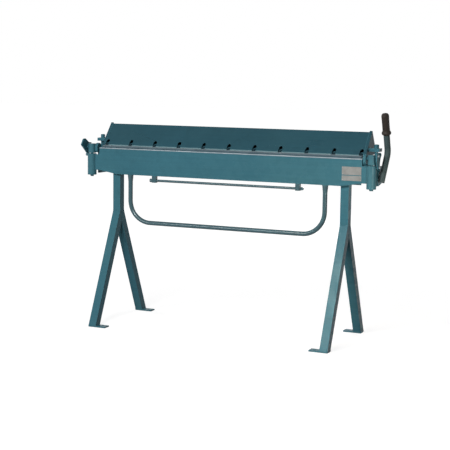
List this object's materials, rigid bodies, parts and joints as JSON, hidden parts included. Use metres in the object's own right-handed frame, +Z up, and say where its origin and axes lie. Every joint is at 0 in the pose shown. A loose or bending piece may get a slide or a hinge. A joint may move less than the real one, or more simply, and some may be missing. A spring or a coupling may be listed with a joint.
{
  "type": "sheet metal brake",
  "caption": "Hand-operated sheet metal folding machine with a bending leaf, a clamping beam, an end lever and splayed legs.",
  "frame": {"origin": "at floor level, in the centre of the four floor bolt holes", "axes": "+X along the fold to the lever's end, +Y from the operator to the back, +Z up"},
  "size_m": [1.4135, 0.4692, 0.9678],
  "materials": {
    "teal_paint": "worn satin enamel",
    "bare_steel": "ground bare steel",
    "dark_steel": "blackened steel",
    "dark_rubber": "matte"
  },
  "bodies": {
    "frame": {"bed_plate": "teal_paint", "bed_web": "teal_paint", "bed_ribs": "teal_paint", "post_left": "teal_paint", "front_leg_left": "teal_paint", "rear_leg_left": "teal_paint", "front_foot_left": "teal_paint", "rear_foot_left": "teal_paint", "end_plate_left": "teal_paint", "hinge_lug_left": "teal_paint", "pivot_plate_left": "teal_paint", "post_right": "teal_paint", "front_leg_right": "teal_paint", "rear_leg_right": "teal_paint", "front_foot_right": "teal_paint", "rear_foot_right": "teal_paint", "end_plate_right": "teal_paint", "hinge_lug_right": "teal_paint", "pivot_plate_right": "teal_paint"},
    "clamp": {"clamp_blade": "bare_steel", "clamp_front_plate": "teal_paint", "clamp_rear_plate": "teal_paint", "clamp_base_bar": "teal_paint", "gusset_left": "teal_paint", "ear_left": "teal_paint", "pull_strap_left": "teal_paint", "gusset_right": "teal_paint", "ear_right": "teal_paint", "pull_strap_right": "teal_paint"},
    "leaf": {"leaf_plate": "teal_paint", "leaf_edge_strip": "bare_steel", "pull_bar": "teal_paint", "stop_rod": "teal_paint", "knuckle_left": "teal_paint", "knuckle_right": "teal_paint"},
    "lever": {"cross_shaft": "dark_steel", "lever_plate": "teal_paint", "lever_tube": "teal_paint", "lever_grip": "dark_rubber"}
  },
  "joints": [
    {"name": "leaf_swing", "type": "hinge", "parent": "frame", "child": "leaf", "pos_m": [0, -0.0284, 0.7795], "axis": [-1, 0, 0], "range_deg": [0, 135]},
    {"name": "lever_swing", "type": "hinge", "parent": "frame", "child": "lever", "pos_m": [0, 0.0616, 0.705], "axis": [-1, 0, 0], "range_deg": [0, 80]},
    {"name": "clamp_lift", "type": "slide", "parent": "frame", "child": "clamp", "axis": [0, 0, 1], "range_m": [0, 0.0187]}
  ],
  "couplings": [
    {"joint": "clamp_lift", "follows": "lever_swing", "m_per_rad": 0.013}
  ]
}
